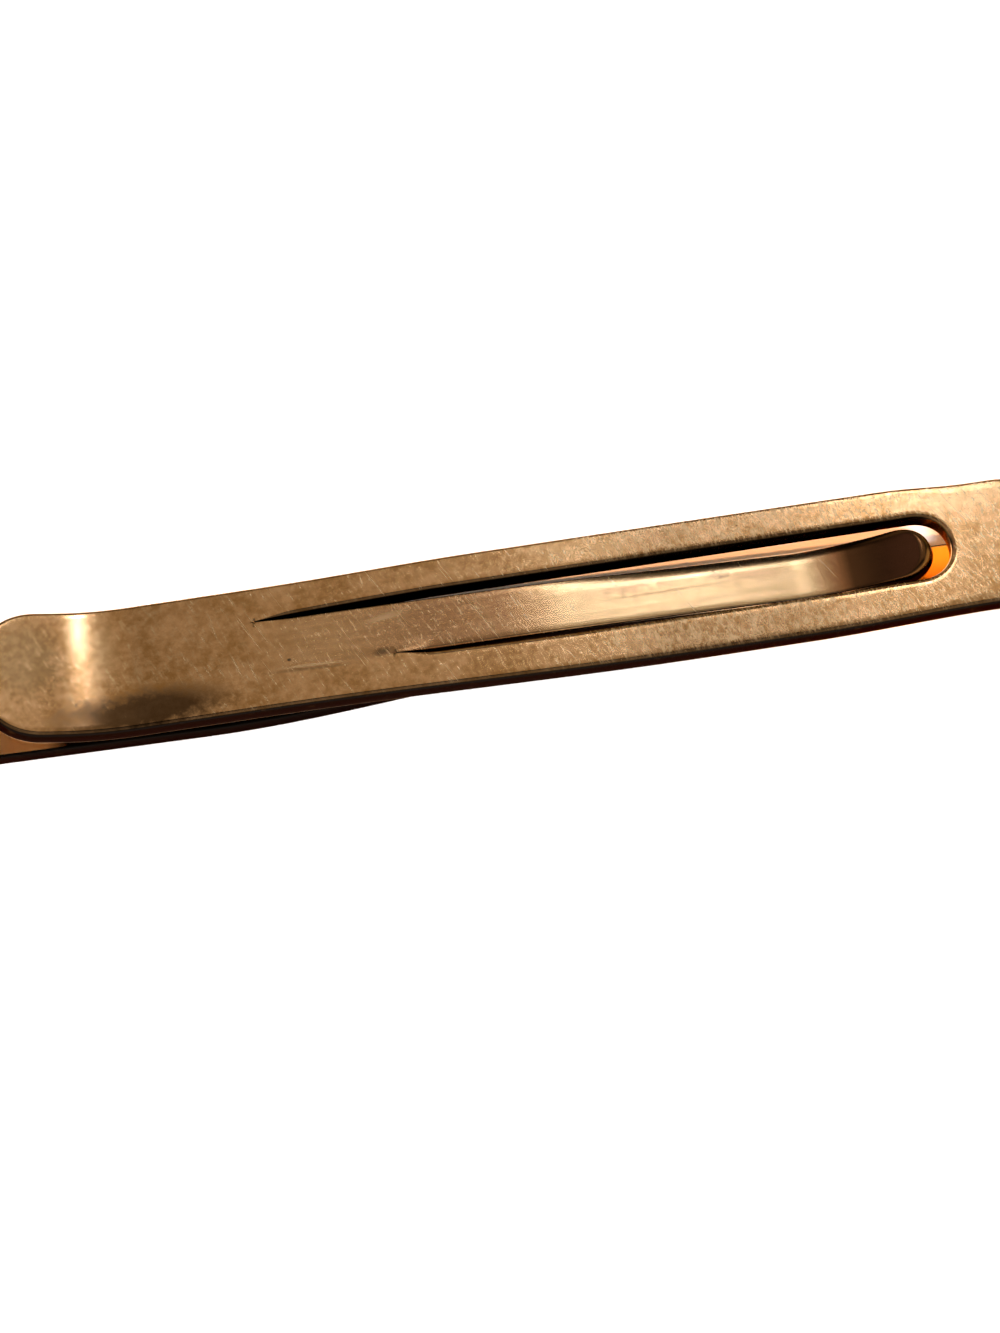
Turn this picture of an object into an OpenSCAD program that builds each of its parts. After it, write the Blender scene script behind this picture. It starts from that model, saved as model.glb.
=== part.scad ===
// Tie bar: one brass strip, cut, folded double and lanced, lying on the outer face of its front bar.
// X runs along the bar from the open mouth (-X) to the fold (+X), Y across it, Z up from the front bar.
// The origin is at the middle of the bar's box, on the face that it lies on. Millimetres.

/* [Strip] */
// Thickness of the strip
strip_t = 0.9; // [0.7:0.05:1.1]
// Length of the whole bar
bar_len = 60; // [58:1:64]

/* [Front bar] */
// Width of the broad free end
broad_w = 6.3; // [5.5:0.1:7]
// Width of the slim part and of the fold
slim_w = 3.8; // [3:0.1:4.4]
// Length of the broad part, from the free end
broad_len = 13.2; // [10:0.2:16]
// Length over which the broad part eases into the slim one
ease_len = 19; // [14:1:24]
// Radius of the corners of the free end
corner_r = 2; // [0.8:0.2:2.6]

/* [Fold] */
// Height of the fold, outside
fold_h = 4.2; // [3.8:0.1:5]

/* [Back arm] */
// Gap between front bar and arm at the mouth
mouth_gap = 0.7; // [0.4:0.1:1.1]
// Where the gap is measured, from the free end
mouth_at = 11.2; // [10.6:0.2:13]
// Distance of the arm's tip from the free end of the front bar
arm_setback = 3; // [1:0.2:3.6]
// Width of the arm at the mouth
arm_w = 6.9; // [6.2:0.1:7.4]
// How much wider the arm's far side is beside the slot
far_swell = 0.2; // [0:0.05:0.4]
// How much wider the arm's near side is beside the slot
near_swell = 0.4; // [0:0.05:0.6]
// Length of the arm's rounded tip
tip_len = 3; // [2:0.1:4]
// How much the arm narrows on each side past the slot
waist_drop = 0.24; // [0:0.02:0.4]
// Length over which the arm narrows to the fold
shoulder_len = 4.2; // [3.5:0.1:5]

/* [Flared lip] */
// Angle of the lip to the arm
lip_angle = 15; // [8:1:18]
// Length of the arm that the lip takes up, with its bend
lip_len = 7.4; // [5:0.2:8]
// Radius of the lip's bend
lip_r = 14; // [9:1:15]

/* [Spring tongue] */
// Width of the tongue
tongue_w = 2.84; // [2.4:0.04:3]
// Root of the tongue, from the free end
root_at = 16.2; // [15:0.2:16.4]
// Length of the tongue in plan
tongue_len = 33.4; // [32:0.1:33.8]
// Length of the curled part of the tongue
curl_len = 6.45; // [5:0.05:8]
// How far the tongue sinks below the arm's face
dip_h = 0.77; // [0.4:0.01:1.1]
// How far the tip climbs again from there
curl_h = 1.12; // [0.8:0.02:1.8]

/* [Slot] */
// End of the slot, from the free end
slot_at = 50.75; // [50.5:0.05:52]
// Gap between the tongue and the far rail
far_gap = 0.45; // [0.3:0.05:0.8]
// Gap between the tongue and the near rail
near_gap = 0.3; // [0.2:0.02:0.6]
// How much less the near gap is at the slot's end
near_pinch = 0.06; // [0:0.02:0.1]
// Length over which the far gap opens
far_open = 9; // [7:1:16]
// How much later the near gap starts
near_delay = 6.6; // [4:0.2:8]
// Length over which the near gap opens
near_open = 9; // [6:1:12]

/* [Hidden] */
step = 0.75;              // spacing of the points along a curve
arc_steps = 16;           // points round an end
cut = 2;                  // how far a cutting solid reaches past what it cuts
point_l = 0.3;            // length of the point on a strip profile's end
tip_round = 0.9;          // roundness of the arm's tip
slot_far_round = 0.85;    // roundness of the slot's end on its far side
slot_near_round = 1;      // roundness of the slot's end on its near side
dip_power = 1.8;          // how late the tongue bends down
waist_past = 1.75;        // how far past the slot the arm is narrowest
far_waist_len = 4.5;      // length over which it narrows to there on its far side
near_waist_len = 9.5;     // length over which it does so on its near side
free_x = -bar_len / 2;
fold_r = fold_h / 2;
fold_x = bar_len / 2 - fold_r;
mouth_x = free_x + mouth_at;
mouth_h = 2 * strip_t + mouth_gap;
tip_x = free_x + arm_setback;
root_x = free_x + root_at;
tongue_end = root_x + tongue_len;
curl_x = tongue_end - curl_len;
near_root_x = root_x + near_delay;
slot_end = free_x + slot_at;
half_tongue = tongue_w / 2;
half_slim = slim_w / 2;
// Half circle that ends the slot.
end_near_gap = near_gap - near_pinch;
end_r = half_tongue + (far_gap + end_near_gap) / 2;
end_y = (far_gap - end_near_gap) / 2;
end_x = slot_end - end_r;
pinch_len = 5;
// The arm swells from the root on and narrows again to its waist.
far_swell_len = 12;
near_swell_len = 22;
waist_x = slot_end + waist_past;
far_waist_x = waist_x - far_waist_len;
near_waist_x = waist_x - near_waist_len;
// The arm's outer face is a line from the mouth that touches the fold's outer circle.
to_fold = [fold_x - mouth_x, fold_r - mouth_h];
arm_angle = atan2(to_fold[1], to_fold[0]) + asin(fold_r / norm(to_fold));
touch_x = fold_x - fold_r * sin(arm_angle);
// The lip: a bend that starts here and ends where its full angle is reached.
bend_x = tip_x + lip_len;
lip_x = bend_x - lip_r * sin(lip_angle);

// Soft step from 0 to 1.
function ease(u) = u <= 0 ? 0 : u >= 1 ? 1 : (1 - cos(180 * u)) / 2;

// Opening of a gap that starts as a fine slit.
function opening(u) = sqrt(max(0, min(1, u)));

// Values from a to b, both included, about a step apart.
function span(a, b) = let (n = ceil((b - a) / step)) [for (i = [0:n]) a + (b - a) * i / n];

// Points round an end, from its far side over its tip to its near side. It is round where the
// roundness is 1 and blunter where that is less, with a value for each side.
function round_end(mid, len, half, far_round, near_round) = [for (i = [0:2 * arc_steps])
    let (a = 90 - 90 * i / arc_steps, p = a > 0 ? far_round : near_round)
    mid + [len * pow(cos(a), p), sign(a) * half * pow(abs(sin(a)), p)]];

// Points in opposite order.
function back(points) = [for (i = [len(points) - 1:-1:0]) points[i]];

// Height of the arm's outer face over the strip's lying face.
function lip_rise(x) = x >= bend_x ? 0
    : x >= lip_x ? lip_r - sqrt(pow(lip_r, 2) - pow(bend_x - x, 2))
    : lip_r * (1 - cos(lip_angle)) + tan(lip_angle) * (lip_x - x);
function arm_z(x) = mouth_h + tan(arm_angle) * (x - mouth_x) + lip_rise(x);

// Depth of the tongue under the arm's outer face; it is negative where the tip stands above it.
function tongue_dip(x) = x < curl_x ? dip_h * pow(max(0, x - root_x) / (curl_x - root_x), dip_power)
    : dip_h - curl_h * pow((x - curl_x) / curl_len, 2);
function tongue_z(x) = arm_z(x) - tongue_dip(x);

// Side profile of a strip whose outer face has the heights zs at the places xs. It ends in a blunt
// point on its middle line, which reaches into whatever the strip runs on into.
function slope_at(xs, zs, i) = let (a = max(0, i - 1), b = min(len(xs) - 1, i + 1))
    atan((zs[b] - zs[a]) / (xs[b] - xs[a]));
function below(x, z, slope, depth) = [x + depth * sin(slope), z - depth * cos(slope)];
function strip_profile(xs, zs) = let (n = len(xs) - 1, s = slope_at(xs, zs, n)) concat(
    [for (i = [0:n]) [xs[i], zs[i]]],
    [below(xs[n], zs[n], s, strip_t / 2) + point_l * [cos(s), sin(s)]],
    back([for (i = [0:n]) below(xs[i], zs[i], slope_at(xs, zs, i), strip_t)]));

// Half widths of the plan outlines.
function front_half(x) =
    broad_w / 2 - (broad_w - slim_w) / 2 * ease((x - free_x - broad_len) / ease_len);
function arm_half(x, swell, swell_len, narrow_x) =
    let (full = arm_w / 2 + swell * ease((x - root_x) / swell_len),
        waist = full - waist_drop * ease((x - narrow_x) / (waist_x - narrow_x)))
    waist - (waist - half_slim) * ease((x - touch_x + shoulder_len) / shoulder_len);
function far_half(x) = arm_half(x, far_swell, far_swell_len, far_waist_x);
function near_half(x) = arm_half(x, near_swell, near_swell_len, near_waist_x);
function far_edge(x) = half_tongue + far_gap * opening((x - root_x) / far_open);
function near_edge(x) = half_tongue + near_gap * opening((x - near_root_x) / near_open)
    - near_pinch * ease((x - end_x + pinch_len) / pinch_len);

// A side profile in X and Z, drawn through the whole width.
module across(width) {
    rotate([90, 0, 0])
        linear_extrude(height = width, center = true)
            children();
}

// A plan outline in X and Y, drawn up through the whole height.
module upward(height) {
    translate([0, 0, -cut])
        linear_extrude(height = height + 2 * cut)
            children();
}

// Outline of the front bar: broad free end with round corners, then the slim part.
module front_plan() {
    corner_x = free_x + corner_r;
    corner_y = broad_w / 2 - corner_r;
    xs = concat(span(corner_x, free_x + broad_len),
        span(free_x + broad_len + step, free_x + broad_len + ease_len), [fold_x]);
    far = [for (x = xs) [x, front_half(x)]];
    near = [for (x = back(xs)) [x, -front_half(x)]];
    near_corner = [for (i = [1:arc_steps]) let (a = 90 * i / arc_steps)
        [corner_x - corner_r * sin(a), -corner_y - corner_r * cos(a)]];
    far_corner = [for (i = [0:arc_steps - 1]) let (a = 90 * i / arc_steps)
        [corner_x - corner_r * cos(a), corner_y + corner_r * sin(a)]];
    polygon(concat(far, near, near_corner, far_corner));
}

// Outline of the arm: round tip, swell beside the slot and taper to the fold.
module arm_plan() {
    xs = concat(span(tip_x + tip_len + step, root_x), span(root_x + step, touch_x), [fold_x + cut]);
    far = [for (x = xs) [x, far_half(x)]];
    near = [for (x = back(xs)) [x, -near_half(x)]];
    tip = round_end([tip_x + tip_len, 0], -tip_len, arm_w / 2, tip_round, tip_round);
    polygon(concat(far, near, back(tip)));
}

// Outline of the slot, which is round at the fold's side and a fine slit at the root.
module slot_plan() {
    xs = span(root_x, end_x - step);
    far = [for (x = xs) [x, far_edge(x)]];
    near = [for (x = back(xs)) [x, -near_edge(x)]];
    polygon(concat(far, round_end([end_x, end_y], end_r, end_r, slot_far_round, slot_near_round), near));
}

// Outline of the tongue, with a half round tip.
module tongue_plan() {
    tip = round_end([tongue_end - half_tongue, 0], half_tongue, half_tongue, 1, 1);
    polygon(concat([[root_x, half_tongue]], tip, [[root_x, -half_tongue]]));
}

module front_bar() {
    linear_extrude(height = strip_t)
        front_plan();
}

// Ring between the front bar and the arm, cut off where it touches each.
module fold() {
    reach = 2 * fold_h;
    across(slim_w)
        intersection() {
            translate([fold_x, fold_r])
                difference() {
                    circle(r = fold_r, $fn = 96);
                    circle(r = fold_r - strip_t, $fn = 96);
                }
            polygon([[fold_x, fold_r], [fold_x, -reach], [fold_x + reach, -reach],
                [fold_x + reach, fold_r + reach],
                [fold_x - reach * sin(arm_angle), fold_r + reach * cos(arm_angle)]]);
        }
}

// The arm with its flared lip, cut open round the tongue.
module back_arm() {
    xs = concat(span(tip_x, bend_x), [mouth_x, touch_x]);
    zs = [for (x = xs) arm_z(x)];
    difference() {
        intersection() {
            across(2 * arm_w)
                polygon(strip_profile(xs, zs));
            upward(2 * fold_h)
                arm_plan();
        }
        upward(2 * fold_h)
            slot_plan();
    }
}

module spring_tongue() {
    xs = concat([root_x - strip_t], span(root_x, curl_x), span(curl_x + step, tongue_end + strip_t));
    zs = [for (x = xs) tongue_z(x)];
    intersection() {
        across(2 * arm_w)
            polygon(strip_profile(xs, zs));
        upward(2 * fold_h)
            tongue_plan();
    }
}

// All of it, moved so that the wider near side leaves its box centred.
module tie_bar() {
    color([0.72, 0.55, 0.32])
        translate([0, (near_swell - far_swell) / 2, 0])
            union() {
                front_bar();
                fold();
                back_arm();
                spring_tongue();
            }
}

tie_bar();
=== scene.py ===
import math
from functools import partial

import bpy
import numpy as np
from mathutils import Matrix, Vector


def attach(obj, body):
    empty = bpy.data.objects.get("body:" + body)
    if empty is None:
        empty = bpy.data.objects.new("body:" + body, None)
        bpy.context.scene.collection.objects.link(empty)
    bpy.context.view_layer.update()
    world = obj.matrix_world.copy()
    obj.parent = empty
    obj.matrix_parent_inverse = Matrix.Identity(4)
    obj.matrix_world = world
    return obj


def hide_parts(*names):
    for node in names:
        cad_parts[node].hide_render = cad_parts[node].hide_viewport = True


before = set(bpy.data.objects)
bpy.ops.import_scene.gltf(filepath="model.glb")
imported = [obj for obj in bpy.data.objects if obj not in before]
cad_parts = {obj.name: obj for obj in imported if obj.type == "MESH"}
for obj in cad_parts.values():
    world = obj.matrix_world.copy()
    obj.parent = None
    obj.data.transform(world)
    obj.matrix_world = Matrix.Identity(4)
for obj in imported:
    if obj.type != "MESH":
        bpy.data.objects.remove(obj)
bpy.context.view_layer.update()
print("frame loaded")

mm = 0.001  # sizes below are in millimetres, and the meshes are in metres

# Where the photographer stood: in front of the bar, 60 degrees up and a little to the left.
shot = dict(
    place=(-11.81, -66.38, 114.21),
    aim=(-1.836, -1.2, 0.0),
    lens=71.97,  # for a 36 mm long side
    sensor=36.0,
    clipStart=5.0,
)

# The bar's sizes, as its solid has them.
bar = dict(
    stripT=0.9, barLen=60.0,
    broadW=6.3, slimW=3.8, broadLen=13.2, easeLen=19.0, cornerLen=2.0, cornerRound=0.62,
    foldH=4.2,
    mouthGap=0.7, mouthAt=11.2, armSetback=3.0,
    armW=6.9, farSwell=0.2, nearSwell=0.4, farSwellLen=12.0, nearSwellLen=22.0,
    tipLen=3.0, tipRound=0.9, waistDrop=0.24, shoulderLen=4.2,
    lipAngle=15.0, lipLen=7.4, lipR=14.0,
    tongueW=2.84, rootAt=16.2, tongueLen=33.4, curlLen=6.45, dipH=0.77, dipPower=1.8, curlH=1.12,
    slotAt=50.75, slotFarRound=0.85, slotNearRound=1.0,
    farGap=0.45, nearGap=0.3, nearPinch=0.06, pinchLen=5.0,
    farOpen=9.0, nearDelay=6.6, nearOpen=9.0,
    waistPast=1.75, farWaistLen=4.5, nearWaistLen=9.5,
)

# What the solid leaves out: edges that the press and the polishing wheel rounded, the tongue's rolled far
# edge and the crease beside its root.
finish = dict(
    outerTop=0.22, outerBottom=0.14,
    slotFarTop=0.2, slotNearTop=0.32, slotEndTop=0.26, slotBottom=0.1,
    tongueTop=0.12, tongueBottom=0.08, tongueEndTop=0.5,
    growFrom=0.25, growLen=2.0,  # along a slit: where its edges begin to be round, and over what length
    rollH=0.2, rollW=0.7, rollFrom=-1.0, rollLen=11.0,  # the tongue's far edge is rolled down, from this X on
    creaseW=0.5, holdLen=2.5,  # fold line where the tongue is still held by the near rail
    blackFrom=0.1, slitBlackFrom=0.9, blackLen=0.5,  # shares of a rounding: where the painted shade turns it black
    rubLen=0.25,  # share of the lower rounding over which the painted black fades out again
    bareShare=0.2, bareFrom=0.7, bareLen=0.8,  # the painted black is weaker on the slot's round end
    springLen=3.0,  # over what length from its root the tongue takes on its own look
)

# How finely the surface is divided: mm between rows along the strip, points round its ends, and columns.
# Points that agree to weldDigits decimals of a mm are welded, and edges over sharpAngle degrees stay sharp.
fineness = dict(
    whole=0.3, held=0.2, opened=0.25, curl=0.15, pastSlot=0.25, fold=0.16, front=0.5,
    heldBias=1.6, openBias=1.25,  # rows are closer where a slit starts
    fanPast=0.35, meetLen=5.0,  # past the slot: its last row, and where the two lanes meet on the middle line
    tipPoints=18, cornerPoints=16, fanPoints=22, tonguePoints=20, arcSteps=6,
    acrossRail=8, acrossTongue=10,
    weldDigits=5, sharpAngle=40.0,
)

# Places along the bar, worked out as in the solid.
freeX = -bar["barLen"] / 2
foldR = bar["foldH"] / 2
foldX = bar["barLen"] / 2 - foldR
mouthX = freeX + bar["mouthAt"]
mouthH = 2 * bar["stripT"] + bar["mouthGap"]
tipX = freeX + bar["armSetback"]
rootX = freeX + bar["rootAt"]
tongueEnd = rootX + bar["tongueLen"]
curlX = tongueEnd - bar["curlLen"]
nearRootX = rootX + bar["nearDelay"]
slotEnd = freeX + bar["slotAt"]
halfTongue = bar["tongueW"] / 2
halfSlim = bar["slimW"] / 2
halfBroad = bar["broadW"] / 2
endNearGap = bar["nearGap"] - bar["nearPinch"]
slotR = halfTongue + (bar["farGap"] + endNearGap) / 2
slotMidY = (bar["farGap"] - endNearGap) / 2
slotMidX = slotEnd - slotR
waistX = slotEnd + bar["waistPast"]
toFoldX, toFoldZ = foldX - mouthX, foldR - mouthH
armAngle = math.atan2(toFoldZ, toFoldX) + math.asin(foldR / math.hypot(toFoldX, toFoldZ))
touchX = foldX - foldR * math.sin(armAngle)
bendX = tipX + bar["lipLen"]
lipAngle = math.radians(bar["lipAngle"])
lipX = bendX - bar["lipR"] * math.sin(lipAngle)
foldLen = foldR * (math.pi + armAngle)
frontS = touchX + foldLen  # the strip's own length goes on round the fold and back along the front bar
endS = frontS + foldX - freeX
shiftY = (bar["nearSwell"] - bar["farSwell"]) / 2


def ease(u):  # soft step from 0 to 1: half a cosine wave
    return (1 - np.cos(np.pi * np.clip(u, 0, 1))) / 2


def opening(u):  # a gap that starts as a fine slit: the square root
    return np.sqrt(np.clip(u, 0, 1))


# Height of the arm's outer face: a straight line that touches the fold, and a lip bent up by an arc.
def armHeight(x):
    arc = bar["lipR"] - np.sqrt(np.maximum(bar["lipR"] ** 2 - np.clip(bendX - x, 0, bendX - lipX) ** 2, 0))
    straight = math.tan(lipAngle) * np.maximum(lipX - x, 0)
    return mouthH + math.tan(armAngle) * (x - mouthX) + arc + straight


# Depth of the tongue under that face: a power curve down, a parabola up at the tip, another parabola across
# the far edge where it is rolled down, and nothing along the near edge until its slit has opened.
def tongueDip(x, y):
    down = bar["dipH"] * np.power(np.maximum(x - rootX, 0) / (curlX - rootX), bar["dipPower"])
    up = bar["dipH"] - bar["curlH"] * ((x - curlX) / bar["curlLen"]) ** 2
    overEdge = np.maximum(y - halfTongue + finish["rollW"], 0) / finish["rollW"]
    roll = finish["rollH"] * ease((x - finish["rollFrom"]) / finish["rollLen"]) * overEdge ** 2
    held = 1 - ease((x - nearRootX) / finish["holdLen"])
    crease = ease((finish["creaseW"] - halfTongue - y) / finish["creaseW"])
    return (np.where(x < curlX, down, up) + roll) * (1 - held * crease)


# Bends the flat strip into the bar: s runs along it, y across it and depth into it from its outer face.
# The arm follows its height, the fold is a circle, and the front bar lies on the outer face.
def bendStrip(s, y, depth, onTongue):
    def face(x):
        return armHeight(x) - (tongueDip(x, y) if onTongue else 0)
    small = 0.001
    slope = (face(s) - face(s - small)) / small
    lean = 1 / np.sqrt(1 + slope ** 2)
    turn = math.pi / 2 + armAngle - (s - touchX) / foldR
    onArm, onFold = s <= touchX, s < frontS
    x = np.where(onArm, s + depth * slope * lean,
                 np.where(onFold, foldX + (foldR - depth) * np.cos(turn), foldX - (s - frontS)))
    z = np.where(onArm, face(s) - depth * lean,
                 np.where(onFold, foldR + (foldR - depth) * np.sin(turn), depth))
    return np.stack([x, y + shiftY, z], -1)


# Half widths of the strip's outline along s: soft steps from the arm's swell to its waist, to the fold and to
# the front bar's broad end.
def halfWidth(s, swell, swellLen, narrowX):
    full = bar["armW"] / 2 + swell * ease((s - rootX) / swellLen)
    waist = full - bar["waistDrop"] * ease((s - narrowX) / (waistX - narrowX))
    arm = waist - (waist - halfSlim) * ease((s - touchX + bar["shoulderLen"]) / bar["shoulderLen"])
    front = halfBroad - (halfBroad - halfSlim) * ease((endS - s - bar["broadLen"]) / bar["easeLen"])
    return np.where(s <= touchX, arm, np.where(s < frontS, halfSlim, front))


# Points round half an end, from its tip to its full width, on a curve between a circle and a square.
def halfEnd(length, half, power, count):
    turn = np.linspace(0, np.pi / 2, count)
    return length * (1 - np.cos(turn) ** power), half * np.sin(turn) ** power


def spread(start, stop, gap, bias=1.0):  # values a gap or so apart, closer at the start with a bias over 1
    return start + (stop - start) * np.linspace(0, 1, max(2, int(round((stop - start) / gap)) + 1)) ** bias


def joined(*pieces):  # rows of several stretches one after the other, with their shared ends given once
    return np.concatenate([pieces[0]] + [piece[1:] for piece in pieces[1:]])


# An edge of the strip: its points and the direction into the metal, the tangent turned by 90 degrees. At a
# cap, on the middle line, that direction runs along the strip.
def makeEdge(s, y, side, startCap=0, endCap=0):
    ts, ty = np.gradient(s), np.gradient(y)
    length = np.hypot(ts, ty)
    ns, ny = -side * ty / length, side * ts / length
    for end, cap in ((0, startCap), (-1, endCap)):
        if cap:
            ns[end], ny[end] = cap, 0
    return dict(s=s, y=y, ns=ns, ny=ny)


def inset(edge, amount):  # the edge's points, moved into the metal
    return edge["s"] + edge["ns"] * amount, edge["y"] + edge["ny"] * amount


# What the material asks at each point: how far a cut edge is painted black as shade, the inner side, and the
# sprung tongue.
def finishOf(s, depth, cut, onTongue):
    tongue = ease((s - rootX) / finish["springLen"]) if onTongue else 0 * s
    return np.stack([cut, depth / bar["stripT"], tongue], -1)


# Rounded edge of the strip: a quarter circle, a straight wall and another quarter circle, along an edge.
# The first quarter and the wall are painted black from the share blackFrom on, a painted shade; along the
# arm the last quarter loses that black again, and bare tells where the black is weaker.
def makeRim(edge, topR, bottomR, onTongue, downward=True, blackFrom=finish["blackFrom"], bare=0.0):
    turn = np.linspace(0, np.pi / 2, fineness["arcSteps"] + 1)
    topR = np.broadcast_to(topR, edge["s"].shape)[:, None]
    bottomR = np.broadcast_to(bottomR, edge["s"].shape)[:, None]
    across = np.concatenate([topR * (1 - np.sin(turn)), bottomR * (1 - np.cos(turn))], 1)
    depth = np.concatenate([topR * (1 - np.cos(turn)), bar["stripT"] - bottomR * (1 - np.sin(turn))], 1)
    s = edge["s"][:, None] + edge["ns"][:, None] * across
    y = edge["y"][:, None] + edge["ny"][:, None] * across
    share = np.linspace(0, 1, fineness["arcSteps"] + 1)
    paintedEdgeShade = ease((share - blackFrom) / min(finish["blackLen"], 1 - blackFrom))
    rubbed = ease(share / finish["rubLen"]) * (edge["s"][:, None] < touchX)
    cut = np.concatenate([np.broadcast_to(paintedEdgeShade, rubbed.shape), 1 - rubbed], 1)
    cut = cut * (1 - np.broadcast_to(bare, edge["s"].shape)[:, None])
    grid = np.concatenate([bendStrip(s, y, depth, onTongue), finishOf(s, depth, cut, onTongue)], -1)
    return grid if downward else grid[:, ::-1]


# Flat or bent face between two edges: straight across, from one edge's points to the other's.
def makeFace(start, stop, depth, columns, onTongue):
    share = np.linspace(0, 1, columns + 1)
    s = start[0][:, None] * (1 - share) + stop[0][:, None] * share
    y = start[1][:, None] * (1 - share) + stop[1][:, None] * share
    flat = np.zeros_like(s)
    grid = bendStrip(s, y, flat + depth, onTongue)
    return np.concatenate([grid, finishOf(s, flat + depth, flat, onTongue)], -1)


# Welds grids of points into one closed mesh, with the finish's three values at each point. A quad with two
# points in one place becomes a triangle, or nothing.
def weldGrids(name, grids):
    points, quads, start = [], [], 0
    for grid in grids:
        height, width = grid.shape[:2]
        index = start + np.arange(height * width).reshape(height, width)
        corners = [index[:-1, :-1], index[1:, :-1], index[1:, 1:], index[:-1, 1:]]
        quads.append(np.stack(corners, -1).reshape(-1, 4))
        points.append(grid.reshape(-1, grid.shape[2]))
        start += height * width
    points, quads = np.concatenate(points), np.concatenate(quads)
    places = np.round(points[:, :3], fineness["weldDigits"])
    _, first, same = np.unique(places, axis=0, return_index=True, return_inverse=True)
    points, quads = points[first], same.reshape(-1)[quads]
    halves = np.concatenate([quads[:, [0, 1, 2]], quads[:, [0, 2, 3]]])
    distinct = (np.diff(np.sort(quads, 1), axis=1) > 0).all(1)
    thirds = halves[np.concatenate([~distinct, ~distinct])]
    thirds = thirds[(np.diff(np.sort(thirds, 1), axis=1) > 0).all(1)]
    mesh = bpy.data.meshes.new(name)
    mesh.from_pydata((points[:, :3] * mm).tolist(), [], quads[distinct].tolist() + thirds.tolist())
    for label, column in (("cutEdge", 3), ("innerSide", 4), ("tongue", 5)):
        layer = mesh.attributes.new(label, "FLOAT", "POINT")
        layer.data.foreach_set("value", points[:, column].astype(np.float32))
    mesh.validate()
    mesh.shade_smooth()
    mesh.set_sharp_from_angle(angle=math.radians(fineness["sharpAngle"]))
    piece = bpy.data.objects.new(name, mesh)
    bpy.context.scene.collection.objects.link(piece)
    return piece


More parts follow.
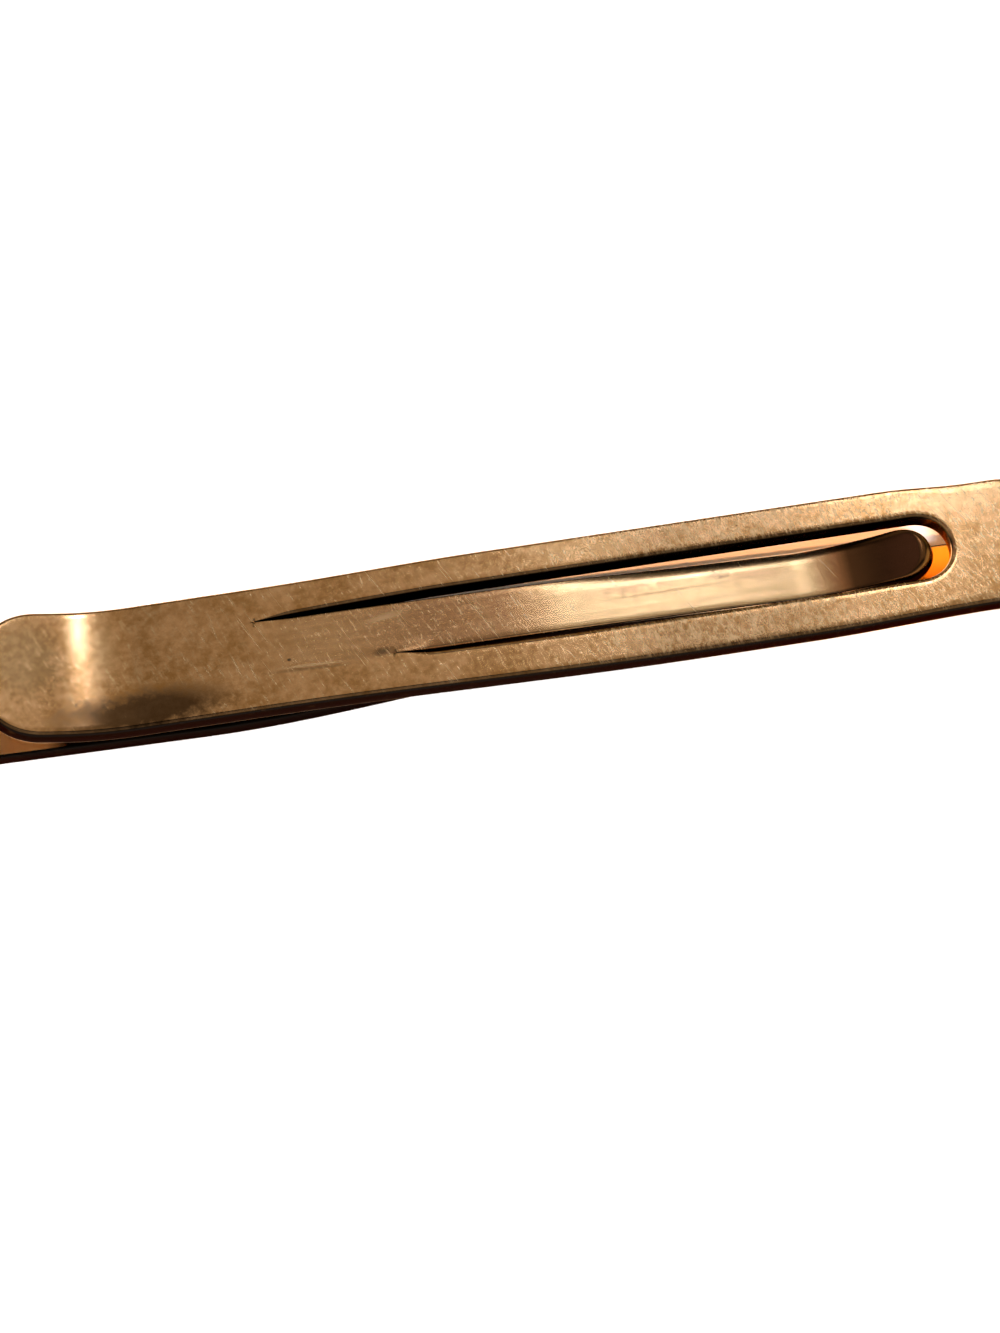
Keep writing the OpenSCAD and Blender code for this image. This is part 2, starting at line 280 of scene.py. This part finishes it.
# The whole bar as three lanes, far rail, tongue and near rail, which part where the slits begin.
def makeBar():
    armTop, bottomT = 0.0, bar["stripT"]
    # Rows along the strip, from the arm's tip to the front bar's free end.
    tipS, tipHalf = halfEnd(bar["tipLen"], bar["armW"] / 2, bar["tipRound"], fineness["tipPoints"])
    toRoot = spread(tipX + bar["tipLen"], rootX, fineness["whole"])
    held = spread(rootX, nearRootX, fineness["held"], fineness["heldBias"])
    opened = spread(nearRootX, slotMidX, fineness["opened"], fineness["openBias"])
    fan = fineness["fanPoints"]
    fanS = np.linspace(slotMidX, slotEnd + fineness["fanPast"], fan)
    pastSlot = spread(fanS[-1], touchX, fineness["pastSlot"])
    fold = spread(touchX, frontS, fineness["fold"])
    front = spread(frontS, endS - bar["cornerLen"], fineness["front"])
    cornerS, cornerHalf = halfEnd(bar["cornerLen"], halfBroad, bar["cornerRound"], fineness["cornerPoints"])
    long = joined(toRoot, held, opened, fanS, pastSlot, fold, front)
    outerS = joined(tipX + tipS, long, endS - cornerS[::-1])
    lastTip = len(tipS) - 1
    lastFan = lastTip + sum(len(stretch) - 1 for stretch in (toRoot, held, opened, fanS))

    def outer(side, swell, swellLen, narrowX):
        y = joined(tipHalf, halfWidth(long, swell, swellLen, narrowX), cornerHalf[::-1])
        return makeEdge(outerS, side * y, -side, 1, -1)
    far = outer(1, bar["farSwell"], bar["farSwellLen"], waistX - bar["farWaistLen"])
    near = outer(-1, bar["nearSwell"], bar["nearSwellLen"], waistX - bar["nearWaistLen"])

    # The slot's edges on the two rails, which meet in the round end.
    turn = np.linspace(np.pi / 2, 0, fan)

    def slotEdge(side, s, gap, power):
        y = joined(side * (halfTongue + gap), slotMidY + side * slotR * np.sin(turn) ** power)
        s = joined(s, slotMidX + slotR * np.cos(turn) ** power)
        return makeEdge(s, y, side, 0, 1)
    farS, nearS = joined(held, opened), opened
    farGap = bar["farGap"] * opening((farS - rootX) / bar["farOpen"])
    nearGap = bar["nearGap"] * opening((nearS - nearRootX) / bar["nearOpen"])
    nearGap = nearGap - bar["nearPinch"] * ease((nearS - slotMidX + bar["pinchLen"]) / bar["pinchLen"])
    slotFar = slotEdge(1, farS, farGap, bar["slotFarRound"])
    slotNear = slotEdge(-1, nearS, nearGap, bar["slotNearRound"])

    # The tongue's edges: straight, with a half round tip.
    lastS, lastHalf = halfEnd(halfTongue, halfTongue, 1.0, fineness["tonguePoints"])
    free = joined(spread(nearRootX, curlX, fineness["opened"], fineness["openBias"]),
                  spread(curlX, tongueEnd - halfTongue, fineness["curl"]))

    def tongueEdge(side, s):
        s = joined(s, tongueEnd - lastS[::-1])
        y = np.concatenate([np.full(len(s) - len(lastS) + 1, halfTongue), lastHalf[::-1][1:]])
        return makeEdge(s, side * y, -side, 0, -1)
    tongueFar, tongueNear = tongueEdge(1, joined(held, free)), tongueEdge(-1, free)

    # Radii along a slit's edge: none where it starts, the full one after a soft step, and another at its end.
    def growing(edge, startX, radius, endRadius=None):
        full = radius * ease((edge["s"] - startX - finish["growFrom"]) / finish["growLen"])
        if endRadius is not None:
            full[-fan:] += (endRadius - radius) * ease(np.linspace(0, 1, fan))
        return full
    slotFarR = growing(slotFar, rootX, finish["slotFarTop"], finish["slotEndTop"])
    slotNearR = growing(slotNear, nearRootX, finish["slotNearTop"], finish["slotEndTop"])
    slotFarB = growing(slotFar, rootX, finish["slotBottom"])
    slotNearB = growing(slotNear, nearRootX, finish["slotBottom"])
    tongueFarR = growing(tongueFar, rootX, finish["tongueTop"], finish["tongueEndTop"])
    tongueNearR = growing(tongueNear, nearRootX, finish["tongueTop"], finish["tongueEndTop"])
    tongueFarB = growing(tongueFar, rootX, finish["tongueBottom"])
    tongueNearB = growing(tongueNear, nearRootX, finish["tongueBottom"])

    def bareEnd(edge):
        return finish["bareShare"] * ease((edge["s"] - slotMidX - finish["bareFrom"]) / finish["bareLen"])

    # Where the lanes meet while the strip is whole: a share of the tip's width, then the tongue's width,
    # and past the slot its middle line. The outlines come first and last, with the lanes' sides in between.
    def laneSides(radius, slotFarRadius, slotNearRadius, tongueFarRadius, tongueNearRadius):
        farIn, nearIn = inset(far, radius), inset(near, radius)
        share = halfTongue / (bar["armW"] / 2 - radius)
        wholeS = joined(farIn[0][:lastTip + 1], toRoot)
        wholeY = joined(farIn[1][:lastTip + 1] * share, np.full(len(toRoot), halfTongue))
        nearWholeS = joined(wholeS, held)
        nearWholeY = -joined(wholeY, np.full(len(held), halfTongue))
        pastS = outerS[lastFan + 1:].copy()
        pastY = slotMidY * (1 - ease((pastS - slotEnd) / fineness["meetLen"]))
        pastS[-len(cornerS):] = farIn[0][-len(cornerS):]
        slotFarIn, slotNearIn = inset(slotFar, slotFarRadius), inset(slotNear, slotNearRadius)
        farLane = (np.concatenate([wholeS, slotFarIn[0][1:], pastS]),
                   np.concatenate([wholeY, slotFarIn[1][1:], pastY]))
        nearLane = (np.concatenate([nearWholeS, slotNearIn[0][1:], pastS]),
                    np.concatenate([nearWholeY, slotNearIn[1][1:], pastY]))
        tongueFarIn, tongueNearIn = inset(tongueFar, tongueFarRadius), inset(tongueNear, tongueNearRadius)
        tongueHigh = joined(wholeS, tongueFarIn[0]), joined(wholeY, tongueFarIn[1])
        tongueLow = joined(nearWholeS, tongueNearIn[0]), joined(nearWholeY, tongueNearIn[1])
        return farIn, farLane, tongueHigh, tongueLow, nearLane, nearIn
    top = laneSides(finish["outerTop"], slotFarR, slotNearR, tongueFarR, tongueNearR)
    low = laneSides(finish["outerBottom"], slotFarB, slotNearB, tongueFarB, tongueNearB)

    grids = []
    for outline, onTongue in ((0, False), (2, True), (4, False)):
        columns = fineness["acrossTongue"] if onTongue else fineness["acrossRail"]
        grids.append(makeFace(top[outline + 1], top[outline], armTop, columns, onTongue))
        grids.append(makeFace(low[outline], low[outline + 1], bottomT, columns, onTongue))
    slit = finish["slitBlackFrom"]
    grids += [
        makeRim(far, finish["outerTop"], finish["outerBottom"], False),
        makeRim(near, finish["outerTop"], finish["outerBottom"], False, downward=False),
        makeRim(slotFar, slotFarR, slotFarB, False, downward=False, bare=bareEnd(slotFar)),
        makeRim(slotNear, slotNearR, slotNearB, False, blackFrom=slit, bare=bareEnd(slotNear)),
        makeRim(tongueFar, tongueFarR, tongueFarB, True, blackFrom=slit),
        makeRim(tongueNear, tongueNearR, tongueNearB, True, downward=False, blackFrom=slit),
    ]
    return weldGrids("bar", grids)


# Metal

def linear(code):  # sRGB hex to linear light
    values = [int(code[i:i + 2], 16) / 255 for i in (1, 3, 5)]
    return [v / 12.92 if v <= 0.04045 else ((v + 0.055) / 1.055) ** 2.4 for v in values] + [1.0]


# Adds a node with its settings, and gives its inputs values or links. An input goes by its name, or by i and
# its number.
def addNode(tree, kind, settings=None, output=0, **inputs):
    node = tree.nodes.new("ShaderNode" + kind)
    for key, value in (settings or {}).items():
        setattr(node, key, value)
    for key, value in inputs.items():
        socket = node.inputs[int(key[1:]) if key[0] == "i" and key[1:].isdigit() else key.replace("_", " ")]
        if isinstance(value, bpy.types.NodeSocket):
            tree.links.new(value, socket)
        else:
            socket.default_value = value
    return node.outputs[output]


# Gilt brass: rolled brass strip, cut, bent, gilded and worn for years. A warm gold metal that mirrors softly,
# browned in clouds, with rubbed flecks and scratches that slant across it. Painted black on its cut edges,
# painted shade on the lip, the crease and the curl, painted shade and light on the inner side, and painted
# highlights on the lip, the crease and the far rail.
giltLook = dict(
    gold="#f3c294",  # rubbed gilding
    brown="#bd8a51",  # tarnished gilding
    pale="#ffdcb0",  # flecks, scratches and rubbed spots, and painted highlights
    spring="#ecd0a8",  # the tongue, rubbed pale by the tie, and partly a painted sheen where it turns to the light
    umber="#a05c30",  # its root, and painted shade where its curl starts
    deep="#f6b85c",  # inner side at the fold, in its own gilding where the painted shade has faded out
    mouth="#cba87e",  # painted light on the inner side at the mouth, where light comes in
    shade="#24160c",  # painted shade on the inner side behind the mouth and on the curl, and the darkest brown of the rails and tongue root
    black="#0c0a09",  # cut edges, painted black as shade
    rim="#beb7b4",  # where the eye grazes the metal
    railBrown=0.42, rootBrown=0.32, curlShade=0.68,  # how far rails and tongue root are darker, and the curl in painted shade
    rootRed=0.4,  # and the root redder
    fleckMost=0.8,  # strength of the flecks beside that of the scratches
    lipRough=0.13, railRough=0.08, lightRough=0.2,  # the lip's roughness, and what rails add, and rubbed spots and painted highlights
    bumpH=0.006, bumpShare=0.5, lightRelief=0.03,  # mm, and shares of it
    faceZ=3.0, faceH=1.8,  # height of the arm's face, and how far a stain on it reaches down and up, in mm
    wave=(1.3, -0.9, 0.0), thin=0.3,  # mm: how far the mottle bends a stain's border, unless it is thinner
    seedStep=(7.3, 3.1, 5.7),  # mm between the places that two noises are taken from
)

# Its noises: size in mm, how many times longer and wider they are, and degrees from X. Real scratches and
# flecks are finer, and these are as coarse as they need to be to show.
giltNoises = dict(
    clouds=dict(size=2.6, stretch=(1.0, 1.0), turn=0.0, detail=4.0, rough=0.6, seed=1),
    mottle=dict(size=0.45, stretch=(1.0, 1.0), turn=0.0, detail=5.0, rough=0.65, seed=2),
    grain=dict(size=0.26, stretch=(1.0, 1.0), turn=0.0, detail=3.0, rough=0.6, seed=3),
    flecks=dict(size=1.0, stretch=(1.0, 0.16), turn=-67.0, detail=2.0, rough=0.5, seed=4),
    railFlecks=dict(size=1.0, stretch=(0.42, 0.17), turn=-75.0, detail=3.0, rough=0.6, seed=7),
    scratches=dict(size=1.0, stretch=(7.0, 0.07), turn=-63.0, detail=1.0, rough=0.4, seed=5),
    streaks=dict(size=1.0, stretch=(3.5, 0.22), turn=1.0, detail=3.0, rough=0.6, seed=6),  # on the tongue
)

# Its ramps, by what they follow: X in mm, a noise, or how far a point is on the tongue. Each row holds the
# two values between which it runs, and what it gives at each of them.
giltRamps = dict(
    along=dict(
        rail=(-6.0, 4.0, 0.0, 1.0), railStart=(2.0, 6.5, 0.0, 1.0), railStop=(12.5, 20.0, 1.0, 0.0),
        rootStart=(-10.0, -5.0, 0.1, 1.0), rootStop=(-1.5, 1.5, 1.0, 0.0),
        spring=(-3.0, 2.0, 0.15, 0.6), curl=(15.2, 15.8, 0.0, 1.0), curlShadeRed=(13.6, 15.2, 0.0, 0.75),
        tongueLight=(-3.0, 1.0, 0.8, 0.3), lipLight=(-24.0, -21.5, 0.45, 1.0),
        foldGold=(4.0, 16.0, 0.0, 1.0), pastMouth=(-24.2, -23.2, 0.0, 1.0),
        pastLip=(-21.0, -17.0, 0.0, 1.0), innerRough=(0.0, 12.0, 0.5, 0.18),
    ),
    clouds=dict(cloudWear=(0.4, 0.62, 0.0, 0.45), scratched=(0.45, 0.55, 0.0, 1.0)),
    mottle=dict(
        mottleWear=(0.38, 0.64, 0.1, 0.65), tongueWear=(0.35, 0.55, 0.55, 1.0), wave=(0.2, 0.8, -0.5, 0.5),
        flecked=(0.42, 0.58, 0.0, 1.0), blackness=(0.25, 0.4, 0.98, 1.0),
        rough=(0.3, 0.7, 0.18, 0.14), relief=(0.0, 1.0, 0.0, 0.08),
    ),
    grain=dict(specks=(0.54, 0.76, 0.0, 0.42)),
    flecks=dict(flecks=(0.52, 0.72, 0.0, 1.0)),
    railFlecks=dict(railFlecks=(0.48, 0.68, 0.0, 1.0)),
    scratches=dict(scratches=(0.7, 0.76, 0.0, 1.0)),
    streaks=dict(streakWear=(0.35, 0.65, 0.3, 0.95), streakRelief=(0.0, 1.0, 0.0, 0.3)),
    tongue=dict(tongueRough=(0.0, 1.0, 1.0, 1.35)),
)

# Stains and painted shade on the arm's face: place and half sizes in mm, degrees from X, share of its soft
# border and strength.
stainsAndShade = dict(
    # Painted shade: the first two darken the flared lip past its bend, where it turns away from the light.
    lipShade=dict(tint="#6e5434", at=(-26.6, 0.0), half=(5.0, 8.0), turn=0, soft=0.35, most=0.12),
    lipOliveShade=dict(tint="#9a8662", at=(-24.9, 0.9), half=(2.2, 2.6), turn=0, soft=0.5, most=0.4),
    edgeSoot=dict(tint="#4a3626", at=(-19.3, -2.5), half=(5.0, 1.5), turn=3, soft=0.5, most=0.85),
    lipSoot=dict(tint="#5c4632", at=(-22.0, -2.0), half=(0.8, 0.7), turn=0, soft=0.8, most=0.6),
    pit=dict(tint="#2a1a10", at=(-12.1, -0.85), half=(0.12, 0.09), turn=0, soft=0.4, most=0.9),
    burr=dict(tint="#5c4632", at=(-7.6, -1.15), half=(0.55, 0.28), turn=8, soft=0.7, most=0.7),
    # Painted shade: a dark band along the crease beside the tongue's root.
    creaseShade=dict(tint="#6a4c30", at=(-11.2, -1.5), half=(2.6, 0.14), turn=-2, soft=0.8, most=0.5),
    blush=dict(tint="#c79a80", at=(5.2, 0.7), half=(3.4, 0.55), turn=2, soft=0.9, most=0.55),
    secondBlush=dict(tint="#c79a80", at=(11.0, 0.5), half=(2.2, 0.6), turn=-3, soft=0.9, most=0.45),
    streak=dict(tint="#8a6444", at=(6.6, 0.1), half=(4.2, 0.12), turn=2, soft=0.9, most=0.5),
    smudge=dict(tint="#6e5a58", at=(9.2, 0.65), half=(0.8, 0.32), turn=10, soft=0.9, most=0.5),
)
# Rubbed spots, scratches and painted highlights, given alike.
rubsAndHighlights = dict(
    # Painted highlight: a light line along the crease, where its step catches the light.
    crease=dict(at=(-11.2, -1.32), half=(2.5, 0.1), turn=-2, soft=0.8, most=0.6),
    rootRub=dict(at=(-7.2, 0.8), half=(1.6, 0.3), turn=10, soft=0.9, most=0.45),
    # Painted highlights: these two lighten the far rail, and the arm near its shoulder, where they catch the
    # light.
    railSheen=dict(at=(2.6, 2.9), half=(3.6, 1.1), turn=0, soft=0.9, most=0.4),
    shoulderHighlight=dict(at=(22.6, 2.6), half=(3.2, 1.0), turn=4, soft=0.9, most=0.8),
    # Painted highlight: these two lighten the lip's bend where it mirrors the window, and the flank beside
    # it.
    lipGlint=dict(at=(-22.1, 2.2), half=(0.8, 1.7), turn=0, soft=0.8, most=0.9),
    lipSheen=dict(at=(-20.9, 1.2), half=(0.9, 2.6), turn=0, soft=0.9, most=0.5),
    nick=dict(at=(14.8, 2.1), half=(0.3, 0.08), turn=-25, soft=0.5, most=1.0),
    longScratch=dict(at=(-14.67, -0.75), half=(1.0, 0.07), turn=-72, soft=0.7, most=0.9),
    nextScratch=dict(at=(-13.9, -1.25), half=(1.05, 0.06), turn=-73, soft=0.7, most=0.8),
    farScratch=dict(at=(-15.55, 1.35), half=(0.8, 0.055), turn=-77, soft=0.7, most=0.7),
    farRailScratch=dict(at=(-8.1, 3.0), half=(0.5, 0.06), turn=-85, soft=0.7, most=0.7),
    nearRailScratch=dict(at=(1.4, -2.9), half=(0.5, 0.06), turn=-60, soft=0.7, most=0.7),
)


def giltBrass():
    made = bpy.data.materials.new("giltBrass")
    made.use_nodes = True
    tree = made.node_tree
    add = partial(addNode, tree)
    shader = tree.nodes["Principled BSDF"]
    tints = {name: linear(value) for name, value in giltLook.items() if isinstance(value, str)}
    times = dict(operation="MULTIPLY", use_clamp=True)
    timesPlus = dict(operation="MULTIPLY_ADD", use_clamp=True)
    plus = dict(operation="ADD", use_clamp=True)
    less = dict(operation="SUBTRACT", use_clamp=True)
    larger = dict(operation="MAXIMUM", use_clamp=True)
    blend, texture = dict(data_type="RGBA"), dict(vector_type="TEXTURE")
    metres = add("TexCoord", None, "Object")
    spot = add("VectorMath", dict(operation="SCALE"), Vector=metres, Scale=1 / mm)
    cutEdge, innerSide, tongue = [add("Attribute", dict(attribute_name=name), "Fac")
                                  for name in ("cutEdge", "innerSide", "tongue")]

    # The noises, and the ramps that follow them, X or the tongue.
    followed = dict(along=add("SeparateXYZ", Vector=spot), tongue=tongue)
    for name, row in giltNoises.items():
        moved = add("Mapping", texture, Vector=spot, Rotation=(0, 0, math.radians(row["turn"])),
                    Location=[row["seed"] * step for step in giltLook["seedStep"]],
                    Scale=(*row["stretch"], 1.0))
        followed[name] = add("TexNoise", Vector=moved, Scale=1 / row["size"], Detail=row["detail"],
                             Roughness=row["rough"])
    ramp = {}
    for source, group in giltRamps.items():
        for name, (start, stop, first, last) in group.items():
            ramp[name] = add("MapRange", Value=followed[source], From_Min=start, From_Max=stop,
                             To_Min=first, To_Max=last)

    # An oval on the arm's face: its full strength in the middle, and nothing from its border outwards.
    def oval(row, over):
        moved = add("Mapping", texture, Vector=over, Rotation=(0, 0, math.radians(row["turn"])),
                    Location=(*row["at"], giltLook["faceZ"]), Scale=(*row["half"], giltLook["faceH"]))
        inside = add("TexGradient", dict(gradient_type="SPHERICAL"), Vector=moved)
        return add("MapRange", Value=inside, From_Max=row["soft"], To_Max=row["most"])

    # Gilding, rubbed and tarnished in clouds, and in streaks on the tongue.
    worn = add("Math", plus, i0=ramp["cloudWear"], i1=ramp["mottleWear"])
    streaked = add("Math", times, i0=ramp["streakWear"], i1=ramp["tongueWear"])
    worn = add("Mix", blend, 2, i0=tongue, i6=worn, i7=streaked)
    colour = add("Mix", blend, 2, i0=worn, i6=tints["brown"], i7=tints["gold"])

    # Where it is browner: on the rails and at the tongue's root, and in painted shade on the tongue's curl.
    rail = add("Math", less, i0=ramp["rail"], i1=tongue)
    onRail = add("Math", times, i0=ramp["railStart"], i1=ramp["railStop"])
    onRail = add("Math", times, i0=rail, i1=onRail)
    rootward = add("Math", times, i0=ramp["rootStart"], i1=ramp["rootStop"])
    rootward = add("Math", times, i0=tongue, i1=rootward)
    # Painted shade: the curl, which turns away from the light, is reddened where it starts and darkened past
    # that.
    shadedCurl = add("Math", times, i0=tongue, i1=ramp["curl"])
    # The tongue's pale look: partly its wear from the tie, partly a painted sheen where it starts to catch
    # the light.
    sprung = add("Math", times, i0=tongue, i1=ramp["spring"])
    darker = 0.0
    for share, amount in ((shadedCurl, "curlShade"), (rootward, "rootBrown"), (onRail, "railBrown")):
        darker = add("Math", timesPlus, i0=share, i1=giltLook[amount], i2=darker)
    reddened = add("Math", times, i0=tongue, i1=ramp["curlShadeRed"])
    reddened = add("Math", timesPlus, i0=rootward, i1=giltLook["rootRed"], i2=reddened)

    # Stains and painted shade, with a wavy border where they aren't thin.
    wavy = add("VectorMath", dict(operation="MULTIPLY_ADD"), i0=ramp["wave"], i1=giltLook["wave"], i2=spot)
    soilAndShade = {}
    for name, row in stainsAndShade.items():
        soilAndShade[name] = oval(row, wavy if row["half"][1] > giltLook["thin"] else spot)

    # Rubbed flecks, scratches and specks: denser on the rails, and rarer on the tongue, the lip and in soot;
    # rubbed spots and painted highlights on top.
    flecks = add("Math", times, i0=ramp["flecks"], i1=ramp["flecked"])
    railFlecks = add("Math", times, i0=rail, i1=ramp["railFlecks"])
    flecks = add("Math", larger, i0=flecks, i1=railFlecks)
    flecks = add("Math", times, i0=flecks, i1=giltLook["fleckMost"])
    scratches = add("Math", times, i0=ramp["scratches"], i1=ramp["scratched"])
    flecksAndHighlights = add("Math", larger, i0=flecks, i1=scratches)
    flecksAndHighlights = add("Math", larger, i0=flecksAndHighlights, i1=ramp["specks"])
    rarer = add("Mix", blend, 2, i0=tongue, i6=(1.0, 1.0, 1.0, 1.0), i7=ramp["tongueLight"])
    flecksAndHighlights = add("Math", times, i0=flecksAndHighlights, i1=rarer)
    flecksAndHighlights = add("Math", less, i0=flecksAndHighlights, i1=soilAndShade["edgeSoot"])
    flecksAndHighlights = add("Math", less, i0=flecksAndHighlights, i1=shadedCurl)
    flecksAndHighlights = add("Math", times, i0=flecksAndHighlights, i1=ramp["lipLight"])
    for row in rubsAndHighlights.values():
        flecksAndHighlights = add("Math", larger, i0=flecksAndHighlights, i1=oval(row, spot))

    # The inner side: painted light at the mouth, painted shade behind it under the arm, and gold at the fold.
    inner = add("Mix", blend, 2, i0=ramp["foldGold"], i6=tints["shade"], i7=tints["deep"])
    inner = add("Mix", blend, 2, i0=ramp["pastMouth"], i6=tints["mouth"], i7=inner)
    # Painted shade: the cut edges are painted black, as if they mirrored only darkness.
    paintedEdgeShade = add("Math", times, i0=cutEdge, i1=ramp["blackness"])
    layers = [(sprung, tints["spring"]), (reddened, tints["umber"]), (darker, tints["shade"])]
    layers += [(soilAndShade[name], linear(row["tint"])) for name, row in stainsAndShade.items()]
    layers += [(flecksAndHighlights, tints["pale"]), (innerSide, inner), (paintedEdgeShade, tints["black"])]
    for share, tint in layers:
        colour = add("Mix", blend, 2, i0=share, i6=colour, i7=tint)

    # Roughness: more on rubbed spots, painted highlights, rails and tongue, less on the lip, and satin on the
    # inner side.
    rough = add("Math", timesPlus, i0=flecksAndHighlights, i1=giltLook["lightRough"], i2=ramp["rough"])
    rough = add("Mix", blend, 2, i0=ramp["pastLip"], i6=[giltLook["lipRough"]] * 4, i7=rough)
    rough = add("Math", times, i0=rough, i1=ramp["tongueRough"])
    rough = add("Math", timesPlus, i0=onRail, i1=giltLook["railRough"], i2=rough)
    rough = add("Mix", blend, 2, i0=innerSide, i6=rough, i7=ramp["innerRough"])
    relief = add("Mix", blend, 2, i0=tongue, i6=ramp["relief"], i7=ramp["streakRelief"])
    height = add("Math", timesPlus, i0=flecksAndHighlights, i1=giltLook["lightRelief"], i2=relief)
    bump = add("Bump", Height=height, Strength=giltLook["bumpShare"], Distance=giltLook["bumpH"] * mm)
    for name, value in (("Base Color", colour), ("Roughness", rough), ("Normal", bump)):
        tree.links.new(value, shader.inputs[name])
    shader.inputs["Metallic"].default_value = 1.0
    shader.inputs["Specular Tint"].default_value = tints["rim"]
    return made


bar3d = makeBar()
bar3d.data.materials.append(giltBrass())
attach(bar3d, "root")
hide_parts("tie_bar")
print("bar made:", len(bar3d.data.polygons), "faces")


# Studio

# Soft panels, two metres away. Each is as wide and high as its share of that distance, and as bright as its
# glow. The metal mirrors them one by one: the window, its core and the curtain round it in the lip's bend and
# the tongue, and the ceiling in the arm. The low ones show from behind and from the ends.
studio = dict(
    distance=2.0,
    panels=dict(
        curtain=dict(towards=(0.16, 0.575, 0.8), wide=0.26, high=0.24, glow=0.28, tint="#f4fbff"),
        window=dict(towards=(0.152, 0.575, 0.8), wide=0.14, high=0.2, glow=0.45, tint="#f4fbff"),
        windowCore=dict(towards=(0.15, 0.577, 0.803), wide=0.058, high=0.07, glow=15.5, tint="#ffffff"),
        ceiling=dict(towards=(0.24, 0.45, 0.86), wide=0.84, high=0.7, glow=0.37, tint="#ffedcb"),
        front=dict(towards=(0.0, -0.66, 0.75), wide=1.8, high=1.3, glow=0.2, tint="#fff0dc"),
        left=dict(towards=(-0.5, 0.45, 0.74), wide=0.6, high=0.9, glow=0.27, tint="#ffe0d8"),
        far=dict(towards=(0.15, 0.94, 0.3), wide=2.2, high=0.5, glow=0.4, tint="#d8caa0"),
    ),
    # The low ones: degrees round the bar from its front, and degrees up.
    low=dict(turns=(-90, -45, 0, 45, 90), rise=22.0, size=0.9, glow=0.7, tint="#ffedcb"),
    tableLamps=dict(
        tableLamp=dict(towards=(-0.05, -0.7, 0.71), size=0.5, glow=1.3, tint="#f8faff"),
        overhead=dict(towards=(0.0, -0.08, 1.0), size=0.35, glow=1.4, tint="#ffffff"),
        reflector=dict(towards=(0.0, 0.14, 0.99), size=0.07, glow=1.0, tint="#ffae70"),
    ),
    paper="#f6f4f0", paperRough=1.0, paperHalf=3.0, air="#ffc898", airGlow=0.1,
)


def addCamera():
    lens = bpy.data.cameras.new("camera")
    lens.lens = shot["lens"]
    lens.sensor_fit = "VERTICAL"
    lens.sensor_height = shot["sensor"]
    lens.clip_start = shot["clipStart"] * mm
    camera = bpy.data.objects.new("camera", lens)
    bpy.context.scene.collection.objects.link(camera)
    camera.location = [v * mm for v in shot["place"]]
    direction = Vector(shot["aim"]) - Vector(shot["place"])
    camera.rotation_euler = direction.to_track_quat("-Z", "Y").to_euler()
    bpy.context.scene.camera = camera


# Turns a thing at a distance in a direction so that it faces the bar, with its width along X.
def turnTo(thing, towards, distance):
    back = Vector(towards).normalized()
    side = Vector((1, 0, 0))
    side = (side - back * side.dot(back)).normalized()
    turn = Matrix((side, back.cross(side), back)).transposed().to_4x4()
    thing.matrix_world = Matrix.Translation(back * distance) @ turn


def addLamp(name, row, shape, wide, high, watts, mirrored, onPaper):
    lamp = bpy.data.lights.new(name, "AREA")
    lamp.shape = shape
    lamp.size, lamp.size_y = wide, high
    lamp.energy = watts
    lamp.color = linear(row["tint"])[:3]
    holder = bpy.data.objects.new(name, lamp)
    bpy.context.scene.collection.objects.link(holder)
    turnTo(holder, row["towards"], studio["distance"])
    holder.visible_camera = False
    holder.visible_glossy = mirrored
    holder.visible_diffuse = onPaper


def addPanel(name, panel):
    wide, high = panel["wide"] * studio["distance"], panel["high"] * studio["distance"]
    addLamp(name, panel, "RECTANGLE", wide, high, panel["glow"] * math.pi * wide * high, True, True)


# Low round panels at the front and the sides, which light nothing but the metal.
def addLowPanels():
    low = studio["low"]
    rise = math.radians(low["rise"])
    size = low["size"] * studio["distance"]
    watts = low["glow"] * math.pi * math.pi * size ** 2 / 4
    for degrees in low["turns"]:
        turn = math.radians(degrees)
        towards = (math.cos(rise) * math.sin(turn), -math.cos(rise) * math.cos(turn), math.sin(rise))
        addLamp("low", dict(towards=towards, tint=low["tint"]), "DISK", size, size, watts, True, False)


# A sheet of paper under the bar, lit by lamps that the metal doesn't mirror: a white one over the
# photographer, another overhead, and just behind that a small warm one. Each is given by the glow that it
# gives the paper.
def addTable():
    half = studio["paperHalf"]
    mesh = bpy.data.meshes.new("table")
    corners = [(-half, -half, 0), (half, -half, 0), (half, half, 0), (-half, half, 0)]
    mesh.from_pydata(corners, [], [(0, 1, 2, 3)])
    table = bpy.data.objects.new("table", mesh)
    bpy.context.scene.collection.objects.link(table)
    paper = bpy.data.materials.new("paper")
    paper.use_nodes = True
    shader = paper.node_tree.nodes["Principled BSDF"]
    shader.inputs["Base Color"].default_value = linear(studio["paper"])
    shader.inputs["Roughness"].default_value = studio["paperRough"]
    table.data.materials.append(paper)
    for name, lamp in studio["tableLamps"].items():
        height = Vector(lamp["towards"]).normalized().z
        watts = lamp["glow"] * (math.pi * studio["distance"]) ** 2 / height
        addLamp(name, lamp, "DISK", lamp["size"], lamp["size"], watts, False, True)


world = bpy.data.worlds.new("studio")
bpy.context.scene.world = world
world.use_nodes = True
world.node_tree.nodes["Background"].inputs["Color"].default_value = linear(studio["air"])
world.node_tree.nodes["Background"].inputs["Strength"].default_value = studio["airGlow"]
world.cycles_visibility.glossy = False
bpy.context.scene.view_settings.view_transform = "Standard"
addCamera()
for name, panel in studio["panels"].items():
    addPanel(name, panel)
addLowPanels()
addTable()
print("studio set")
